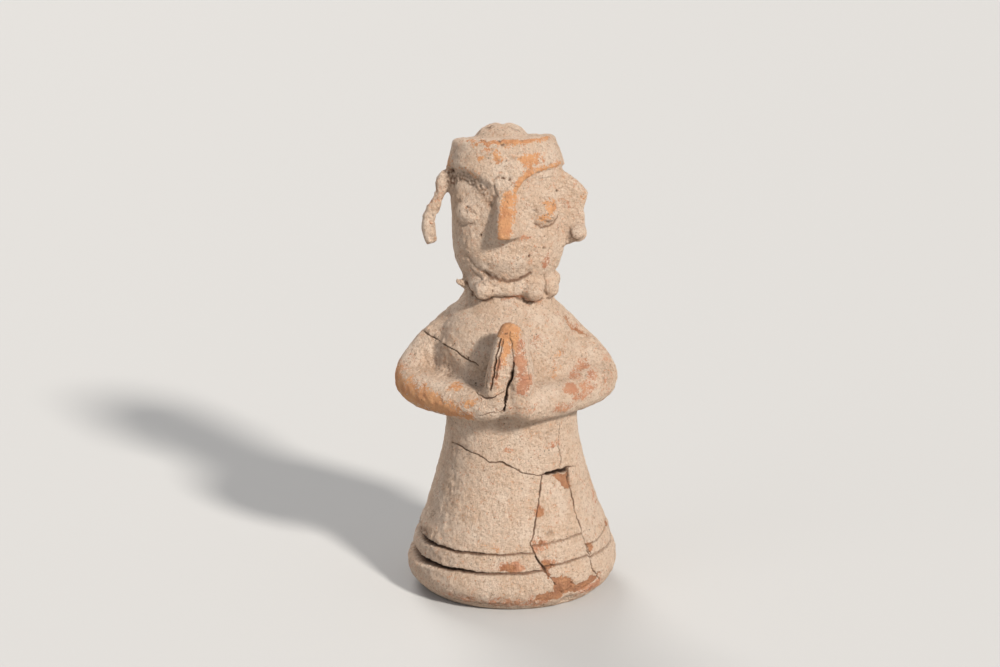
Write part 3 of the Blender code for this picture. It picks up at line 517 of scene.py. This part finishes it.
def refineNear(obj, lines, reach, passes):
    # halves the edges near the lines, so that a hairline has points to be cut into
    cage = bmesh.new()
    cage.from_mesh(obj.data)
    for step in range(passes):
        cage.verts.ensure_lookup_table()
        points = np.array([v.co for v in cage.verts])
        close = np.zeros(len(points), bool)
        for line, width in lines:
            limit = (width + reach * (0.5 if step else 1.0)) * mm
            close |= distanceTo(points, line, limit) < limit
        longest = figure["voxel"] * mm * (0.75 if step == 0 else 0.42)
        edges = [e for e in cage.edges
                 if close[e.verts[0].index] and close[e.verts[1].index] and e.calc_length() > longest]
        bmesh.ops.subdivide_edges(cage, edges=edges, cuts=1, use_grid_fill=True)
        bmesh.ops.triangulate(cage, faces=[f for f in cage.faces if len(f.verts) > 3])
    cage.to_mesh(obj.data)
    cage.free()


def cutLine(points, normals, away, width, depth, vary):
    # a groove with steep sides, its depth varying along it
    bite = ease(1 - away / (width * mm)) * depth * mm
    return points - normals * (bite * vary)[:, None]


def workSurface(points, normals, outside):
    # uneven hand and wheel work: soft lumps above, turning ripples on the skirt, grit all over
    height = points[:, 2] / mm
    large, small = figure["lumpSizes"]
    coarser, finer = figure["gritSizes"]
    lumps = noiseAt(points, large, 1) * 0.7 + noiseAt(points, small, 2) * 0.4
    skirt = ease((figure["skirtTop"] - height) / 8)
    push = lumps * figure["lump"] * (1 - 0.45 * skirt)
    wander = 2.2 * noiseAt(points * (1, 1, 0.2), 14, 5)
    turning = np.sin(height * 2 * math.pi / figure["rippleSpacing"] + wander)
    turning *= noiseAt(points * (0.5, 0.5, 1), 9, 6)
    push += turning * figure["wheelRipple"] * 2.0 * skirt
    push += noiseAt(points, coarser, 3) * figure["grit"] + noiseAt(points, finer, 4) * figure["grit"] * 0.8
    return points + normals * (push * outside * mm)[:, None]


def coarsen(points, shape, normals, tree):
    # pitted and torn skin in the coarse places
    grains = noiseAt(shape, 1.7, 81) + 0.7 * noiseAt(shape, 1.0, 82) - 0.25
    push = patchShare(shape, tree, figure["coarse"]) * grains * 1.1 * mm
    return points + normals * push[:, None]


def crackSide(points, name):
    # how far to the right of that crack each point lies, in millimetres
    right, height = zip(*sorted(figure["cracks"][name][0], key=lambda place: place[1]))
    return points[:, 0] / mm - figure["sideways"] - np.interp(points[:, 2] / mm, height, right)


def grooveMiddle(points, name):
    # the height of that groove's middle beside each point: it rises to the right,
    # and is out of step where the sherds meet
    x = points[:, 0] / mm - figure["sideways"]
    front = points[:, 1] < 0
    pastMiddle = ease(crackSide(points, "skirtMiddle") / 0.5 + 0.5) * front
    pastRight = ease(crackSide(points, "skirtRight") / 0.5 + 0.5) * front
    between, beyond = figure["grooves"]["sherdStep"][name]
    height = figure["grooves"][name]["height"] + figure["grooves"]["tilt"] * x
    height += 0.5 * noiseAt(points * (1, 1, 0), 8, 12 + figure["grooves"][name]["height"])
    return height + (pastMiddle - pastRight) * between + pastRight * beyond * ease((38 - x) / 6)


def grooveLines(tree):
    # points along both grooves on the front, for refining the skin there
    lines = []
    for name in ("low", "high"):
        height, tilt = figure["grooves"][name]["height"], figure["grooves"]["tilt"]
        line = np.array([onSurface(tree, (x, height + tilt * x)) for x in np.arange(-37, 38, 0.4)])
        line[:, 2] = grooveMiddle(line, name) * mm
        lines.append((line, 1.3))
    return lines


def turnGrooves(points, outside):
    # carves the two grooves, open wedges on the left, thin lines in front and faint on the right
    x, height = points[:, 0] / mm - figure["sideways"], points[:, 2] / mm
    radius = np.hypot(points[:, 0], points[:, 1]) / mm
    radial = np.stack([points[:, 0], points[:, 1], np.zeros(len(points))], axis=1) / (radius * mm)[:, None]
    uneven = 1 + 0.4 * noiseAt(points, 5, 11)
    rough = noiseAt(points, 1.4, 14) * 0.2
    shade = np.zeros(len(points))
    bite = np.zeros(len(points))
    for name in ("low", "high"):
        right, widths, depths = zip(*figure["grooves"][name]["shape"])
        width, depth = np.interp(x, right, widths), np.interp(x, right, depths)
        away = height + rough - grooveMiddle(points, name)
        reach = width * np.where(away > 0, 0.4, 0.6) + 0.2
        share = ease((1 - np.abs(away) / reach) * 1.8) * outside * (radius > figure["grooves"]["inside"])
        bite += share * depth * uneven
        shade = np.maximum(shade, share ** 2 * np.clip(depth * 0.75, 0.35, 1.0))
    moved = points - radial * (bite * mm)[:, None]
    return moved, shade


def warped(points, size, reach, seed):
    # the points shifted about by noise, so that what is measured from them gets a ragged outline
    shift = np.stack([noiseAt(points, size, seed + axis) for axis in range(3)], axis=1)
    finer = np.stack([noiseAt(points, size * 0.35, seed + 3 + axis) for axis in range(3)], axis=1)
    return points + (shift + 0.45 * finer) * reach * mm


def patchShare(points, tree, spots):
    # 0 to 1 over the given places, strongest in their middles
    share = np.zeros(len(points))
    for place, radii, strength in spots.values():
        middle = onSurface(tree, place)
        away = np.linalg.norm((points - middle) / (np.array(radii) * mm), axis=1)
        share = np.maximum(share, ease((1.55 - away) / 1.1) * strength)
    return share


def stripShare(points, tree, strips):
    # 0 to 1 over the given narrow strips
    share = np.zeros(len(points))
    for places, width, strength in strips.values():
        away = distanceTo(points, ragged(tree, places, 0.2), width * 1.5 * mm)
        share = np.maximum(share, ease((1.45 - away / (width * mm)) / 0.7) * strength)
    return share


def insideOf(points, tree, corners, side=0):
    # how far inside the outline each point lies, as seen from that side, in millimetres
    turn = math.radians(side)
    across = (points[:, 0] / mm - figure["sideways"]) * math.cos(turn) + points[:, 1] / mm * math.sin(turn)
    height = points[:, 2] / mm
    middle = np.mean(corners, axis=0)
    depth = np.full(len(points), 99.0)
    for a, b in zip(corners, corners[1:] + corners[:1]):
        along = np.array(b) - np.array(a)
        outward = np.array([along[1], -along[0]]) / np.linalg.norm(along)
        if np.dot(outward, middle - np.array(a)) > 0:
            outward = -outward
        depth = np.minimum(depth, -((across - a[0]) * outward[0] + (height - a[1]) * outward[1]))
    away = np.linalg.norm(points - onSurface(tree, (*middle, side)), axis=1)
    return np.where(away > figure["flakeReach"] * mm, -99.0, depth)


def chipSurface(points, normals, tree, outside):
    # each flake is bitten back to a rough, slightly dished face
    share = np.zeros(len(points))
    rough = 1 + 0.5 * noiseAt(points, 1.5, 21)
    shifted = warped(points, 2.6, 1.0, 23)
    for corners, depth, colour, *side in figure["flakes"].values():
        inside = insideOf(shifted, tree, corners, *side)
        bite = ease(inside / 0.6 + 0.5) * outside
        points = points - normals * (bite * depth * rough * mm)[:, None]
        share = np.maximum(share, ease(inside / 0.5 + 0.4) * colour * outside)
    return points, share


def tearBrow(points, shape, normals, tree):
    # the slope under the left brow, torn back and coarse
    torn = figure["tornBrow"]
    width = torn["width"]
    away = distanceTo(shape, ragged(tree, torn["line"], 0.5), width * mm)
    share = ease((1 - away / (width * mm)) * 1.5 + 0.25 * noiseAt(points, 2.6, 35))
    streaks = noiseAt(points * (0.8, 1, 1.6), 1.3, 33) + 0.7 * noiseAt(points, 0.8, 34)
    push = share * (streaks * torn["grain"] - torn["depth"]) * 0.6
    # the torn slope is darkened with painted shade, most in its sunk streaks
    return points + normals * (push * mm)[:, None], share * (0.08 + 0.26 * ease(0.4 - streaks))


def modelFace(points, shape, normals, tree):
    # the pellets, lips, brow edge, creases and small holes, placed on the unworked shape
    dark = np.zeros(len(points))
    uneven = 1 + 0.5 * noiseAt(points, 1.9, 31)
    for place, radii, height in figure["swellings"].values():
        middle = onSurface(tree, place)
        away = np.hypot((shape[:, 0] - middle[0]) / radii[0], (shape[:, 2] - middle[2]) / radii[1]) / mm
        near = np.abs(shape[:, 1] - middle[1]) < figure["faceReach"] * mm
        points = points + normals * (near * ease((1 - away) * 1.4) * height * mm)[:, None]
    for place, radii, width, height in figure["eyeRims"].values():
        middle = onSurface(tree, place)
        away = np.hypot((shape[:, 0] - middle[0]) / radii[0], (shape[:, 2] - middle[2]) / radii[1]) / mm
        near = np.abs(shape[:, 1] - middle[1]) < figure["faceReach"] * mm
        rim = np.exp(-((away - 0.80) / 0.13) ** 2) - 0.8 * np.exp(-((away - 1.08) / 0.10) ** 2)
        points = points + normals * (near * rim * height * width * 1.6 * uneven * mm)[:, None]
    for places, width, height, shade in figure["ridges"].values():
        away = distanceTo(shape, ragged(tree, places, 0.3), width * 1.6 * mm)
        share = np.exp(-(away / (width * mm)) ** 2) * (away < width * 3.1 * mm)
        points = points + normals * (share * height * uneven * mm)[:, None]
        # the creases are darkened with painted shade
        dark = np.maximum(dark, share ** 2 * shade)
    points, torn = tearBrow(points, shape, normals, tree)
    dark = np.maximum(dark, torn)
    for place, radius in figure["pinholes"]:
        away = np.linalg.norm(shape - onSurface(tree, place), axis=1) / mm
        hole = ease(1 - away / radius)
        points = points - normals * (hole * 0.9 * mm)[:, None]
        # the holes are darkened with painted shade
        dark = np.maximum(dark, hole)
    return points, dark


def buildFigure():
    skin = fineSkin(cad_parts["votive_figure"])
    print("skin", len(skin.data.vertices), "points")
    tree = surfaceTree(skin)
    lines = {}
    for name, (places, width, depth, *side) in {**figure["cracks"], **figure["handSlits"]}.items():
        lines[name] = (ragged(tree, places, 0.22, *side), width, depth)
    creases = [(ragged(tree, places), width) for places, width, _, _ in figure["ridges"].values()]
    refineNear(skin, [(line, width) for line, width, _ in lines.values()], 0.7, 2)
    torn = figure["tornBrow"]
    creases += grooveLines(tree) + [(ragged(tree, torn["line"]), torn["width"])]
    refineNear(skin, creases, 0.4, 1)
    print("refined", len(skin.data.vertices), "points")
    mesh = skin.data
    points, normals = readPoints(mesh), readNormals(mesh)
    unworked = points
    outside = np.where(inHollow(points, normals), 0.0, 1.0) * ease(points[:, 2] / (1.2 * mm))
    points = workSurface(points, normals, outside)
    points = coarsen(points, unworked, normals, tree)
    points, grooveShade = turnGrooves(points, outside)
    points, chipShare = chipSurface(points, normals, tree, outside)
    points, faceDark = modelFace(points, unworked, normals, tree)
    crackShade = np.zeros(len(points))
    vary = 0.75 + 0.5 * noiseAt(points, 5, 41)
    opening = np.clip(0.85 + 0.8 * noiseAt(points, 3.5, 43), *figure["crackOpening"])
    for name, (line, width, depth) in lines.items():
        away = distanceTo(unworked, line, (width + 1.0) * mm)
        away = away / opening
        points = cutLine(points, normals, away, width, depth, vary * outside)
        crackShade = np.maximum(crackShade, ease(1.1 - away / (width * mm)) * min(1.0, 0.3 + depth * 0.55))
    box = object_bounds()
    low, high = np.array(box[0]), np.array(box[1])
    points = np.clip(points, low + figure["inset"] * mm, high - figure["inset"] * mm)
    points[:, 2] = np.maximum(points[:, 2], 0.0)
    writePoints(mesh, points)
    painted = points
    shifted = warped(points, 4.5, 1.7, 51)
    strips = stripShare(warped(points, 2.0, 0.45, 71), tree, figure["wornStrips"])
    orange = np.maximum(patchShare(shifted, tree, figure["orangeWear"]), strips)
    pink = patchShare(shifted, tree, figure["pinkWear"])
    # soil stains and dots, with painted shade in the pockets, under the lip and rim, at the ear root and at
    # the nape
    soilAndShade = patchShare(warped(points, 1.6, 0.8, 61), tree, figure["soilAndShadePatches"])
    soilAndShade *= ease(0.5 + 1.1 * noiseAt(points, 0.9, 63))
    # painted shade from the cracks, grooves, creases and holes joins the soil and shade patches in one dark
    # channel
    dark = np.maximum.reduce([crackShade, grooveShade * 0.9, faceDark, soilAndShade])
    paint = np.stack([orange, pink, dark, chipShare], axis=1).astype(np.float32)
    triangles = sum(len(face.vertices) - 2 for face in mesh.polygons)
    if triangles > figure["mostTriangles"]:
        thin = skin.modifiers.new("even out", "DECIMATE")
        thin.ratio = figure["mostTriangles"] / triangles
        applyModifiers(skin)
        mesh = skin.data
        nearest = KDTree(len(painted))
        for index, place in enumerate(painted):
            nearest.insert(place, index)
        nearest.balance()
        paint = paint[[nearest.find(place)[1] for place in readPoints(mesh)]]
    layer = mesh.color_attributes.new("clayWearAndShade", "FLOAT_COLOR", "POINT")
    layer.data.foreach_set("color", paint.ravel())
    mesh.shade_smooth()
    mesh.materials.clear()
    mesh.materials.append(clayMaterial())
    print("figure", sum(len(face.vertices) - 2 for face in mesh.polygons), "triangles")
    return skin


def clayMaterial():
    made = bpy.data.materials.new("firedClay")
    made.use_nodes = True
    nodes, links = made.node_tree.nodes, made.node_tree.links
    shader = nodes["Principled BSDF"]
    place = nodes.new("ShaderNodeTexCoord")
    wearAndShade = nodes.new("ShaderNodeAttribute")
    wearAndShade.attribute_name = "clayWearAndShade"
    parts = nodes.new("ShaderNodeSeparateColor")
    links.new(wearAndShade.outputs["Color"], parts.inputs[0])

    def cloud(size, detail, roughness=0.6):
        made = nodes.new("ShaderNodeTexNoise")
        made.inputs["Scale"].default_value = 1 / (size * mm)
        made.inputs["Detail"].default_value = detail
        made.inputs["Roughness"].default_value = roughness
        links.new(place.outputs["Object"], made.inputs["Vector"])
        return made.outputs["Fac"]

    def between(value, low, high, toLow=0.0, toHigh=1.0):
        made = nodes.new("ShaderNodeMapRange")
        made.inputs["From Min"].default_value = low
        made.inputs["From Max"].default_value = high
        made.inputs["To Min"].default_value = toLow
        made.inputs["To Max"].default_value = toHigh
        links.new(value, made.inputs["Value"])
        return made.outputs["Result"]

    def sums(kind, a, b):
        made = nodes.new("ShaderNodeMath")
        made.operation = kind
        for socket, value in zip(made.inputs, (a, b)):
            if isinstance(value, float):
                socket.default_value = value
            else:
                links.new(value, socket)
        return made.outputs[0]

    def blend(share, a, b):
        made = nodes.new("ShaderNodeMix")
        made.data_type = "RGBA"
        links.new(share, made.inputs[0])
        for socket, value in zip((made.inputs[6], made.inputs[7]), (a, b)):
            if isinstance(value, tuple):
                socket.default_value = (*value, 1)
            else:
                links.new(value, socket)
        return made.outputs[2]

    blotch, wideBlotch = figure["blotchSizes"]
    sand, fineSand, paleSand = figure["fleckSizes"]
    ragEdge, fineEdge = figure["wornEdgeSizes"]
    colour = blend(between(cloud(blotch, 5), 0.38, 0.66), figure["slip"], figure["slipPale"])
    dull = between(cloud(wideBlotch, 4, 0.7), 0.52, 0.75, 0.0, 0.55)
    colour = blend(dull, colour, figure["slipDull"])
    for size, high in ((sand, 0.48), (fineSand, 0.47)):
        dull = between(cloud(size, 3, 0.7), 0.35, high, 0.68, 0.0)
        colour = blend(dull, colour, figure["slipDull"])
    colour = blend(between(cloud(paleSand, 3), 0.54, 0.66, 0.0, 0.8), colour, figure["slipPale"])
    flake = sums("MULTIPLY", cloud(ragEdge, 8, 0.78), 0.7)
    flake = sums("ADD", flake, sums("MULTIPLY", cloud(fineEdge, 4, 0.7), 0.3))
    depthOfWear = between(cloud(4.5, 5), 0.4, 0.62)
    for channel, name in ((0, "orange"), (1, "pink")):
        edge = sums("ADD", parts.outputs[channel], between(flake, 0.3, 0.7, -0.88, 0.88))
        bare = blend(depthOfWear, figure[name], figure[name + "Deep"])
        thinned = blend(between(edge, 0.2, 0.75, 0.0, 0.5), colour, bare)
        colour = blend(between(edge, 0.52, 0.62, 0.0, 0.88), thinned, bare)
    broken = blend(depthOfWear, figure["core"], figure["coreDeep"])
    fleck = sums("ADD", wearAndShade.outputs["Alpha"], between(cloud(0.9, 3, 0.7), 0.35, 0.65, 0.22, -0.22))
    colour = blend(between(fleck, 0.3, 0.62, 0.0, 0.92), colour, broken)
    # the dark channel turns brown, and at its deepest near black. It holds painted shade in the cracks,
    # grooves, creases, holes and sheltered places, together with soil stains and dots
    colour = blend(between(parts.outputs[2], 0.04, 0.45, 0.0, 0.85), colour, figure["soilAndShade"])
    colour = blend(between(parts.outputs[2], 0.5, 0.9, 0.0, 0.95), colour, figure["sootAndShade"])

    def holes(size, radius, patches, low, high):
        # scattered pin-pricks, only where the patches' noise is high
        made = nodes.new("ShaderNodeTexVoronoi")
        made.inputs["Scale"].default_value = 1 / (size * mm)
        links.new(place.outputs["Object"], made.inputs["Vector"])
        spot = between(made.outputs["Distance"], radius * 0.5, radius, 1.0, 0.0)
        return sums("MULTIPLY", spot, between(cloud(patches, 3), low, high))

    pit = sums("MAXIMUM", *[holes(*pits) for pits in figure["pits"]])
    # the sunk pin-pricks are darkened with painted shade
    colour = blend(sums("MULTIPLY", pit, 0.55), colour, figure["sootAndShade"])
    links.new(colour, shader.inputs["Base Color"])
    dry = between(cloud(3, 3), 0.3, 0.7, figure["roughness"] - 0.08, figure["roughness"] + 0.08)
    links.new(dry, shader.inputs["Roughness"])
    shader.inputs["Specular IOR Level"].default_value = figure["shine"]
    fineGrain, wideGrain = figure["grainSizes"]
    grain = sums("MULTIPLY", cloud(fineGrain, 5, 0.75), 2.0)
    grain = sums("ADD", grain, sums("MULTIPLY", cloud(wideGrain, 3), 0.8))
    grain = sums("SUBTRACT", grain, sums("MULTIPLY", pit, 0.8))
    bump = nodes.new("ShaderNodeBump")
    bump.inputs["Strength"].default_value = figure["bump"]
    bump.inputs["Distance"].default_value = figure["bumpDepth"] * mm
    links.new(grain, bump.inputs["Height"])
    links.new(bump.outputs["Normal"], shader.inputs["Normal"])
    return made


# The studio. Lights are (place, aim, strength, spread in degrees, colour).
studio = {
    "floorSize": 6,
    "floorColour": (0.50, 0.49, 0.475),
    "floorRoughness": 0.8,
    "floorShine": 0.1,
    "world": (0.93, 0.95, 1.0),
    "worldStrength": 0.42,
    "lights": {
        "key": ((0.62, -0.78, 0.72), (0, 0, 0.09), 4.5, 7.0, (1.0, 0.965, 0.915)),
        "fill": ((-0.9, -0.7, 0.5), (0, 0, 0.08), 0.30, 40.0, (0.96, 0.98, 1.0)),
        "back": ((-0.3, 0.9, 0.7), (0, 0, 0.09), 1.9, 30.0, (1.0, 0.98, 0.95)),
    },
    "lens": 120,
    "eye": (-0.00246, -1.19837, 0.45271),
    "aim": (-0.00246, 0.0, 0.09774),
}


def aimAt(obj, target):
    obj.rotation_euler = (Vector(target) - obj.location).to_track_quat("-Z", "Y").to_euler()


def buildStudio():
    scene = bpy.context.scene
    bpy.ops.mesh.primitive_plane_add(size=studio["floorSize"], location=(0, 0, 0))
    floor = bpy.context.active_object
    floor.name = "studioFloor"
    paint = bpy.data.materials.new("paleFloor")
    paint.use_nodes = True
    shader = paint.node_tree.nodes["Principled BSDF"]
    shader.inputs["Base Color"].default_value = (*studio["floorColour"], 1)
    shader.inputs["Roughness"].default_value = studio["floorRoughness"]
    shader.inputs["Specular IOR Level"].default_value = studio["floorShine"]
    floor.data.materials.append(paint)
    for name, (place, aim, strength, spread, tint) in studio["lights"].items():
        data = bpy.data.lights.new(name, "SUN")
        data.energy = strength
        data.angle = math.radians(spread)
        data.color = tint
        lamp = bpy.data.objects.new(name, data)
        lamp.location = place
        scene.collection.objects.link(lamp)
        aimAt(lamp, aim)
    world = bpy.data.worlds.new("studio")
    world.use_nodes = True
    sky = world.node_tree.nodes["Background"]
    sky.inputs[0].default_value = (*studio["world"], 1)
    sky.inputs[1].default_value = studio["worldStrength"]
    scene.world = world
    scene.view_settings.view_transform = "Standard"
    lens = bpy.data.cameras.new("camera")
    lens.lens = studio["lens"]
    lens.sensor_width = 36
    lens.clip_start = 0.01
    camera = bpy.data.objects.new("camera", lens)
    camera.location = studio["eye"]
    scene.collection.objects.link(camera)
    aimAt(camera, studio["aim"])
    scene.camera = camera


skin = buildFigure()
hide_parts("votive_figure")
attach(skin, "root")
print("figure placed")
buildStudio()
print("studio ready")
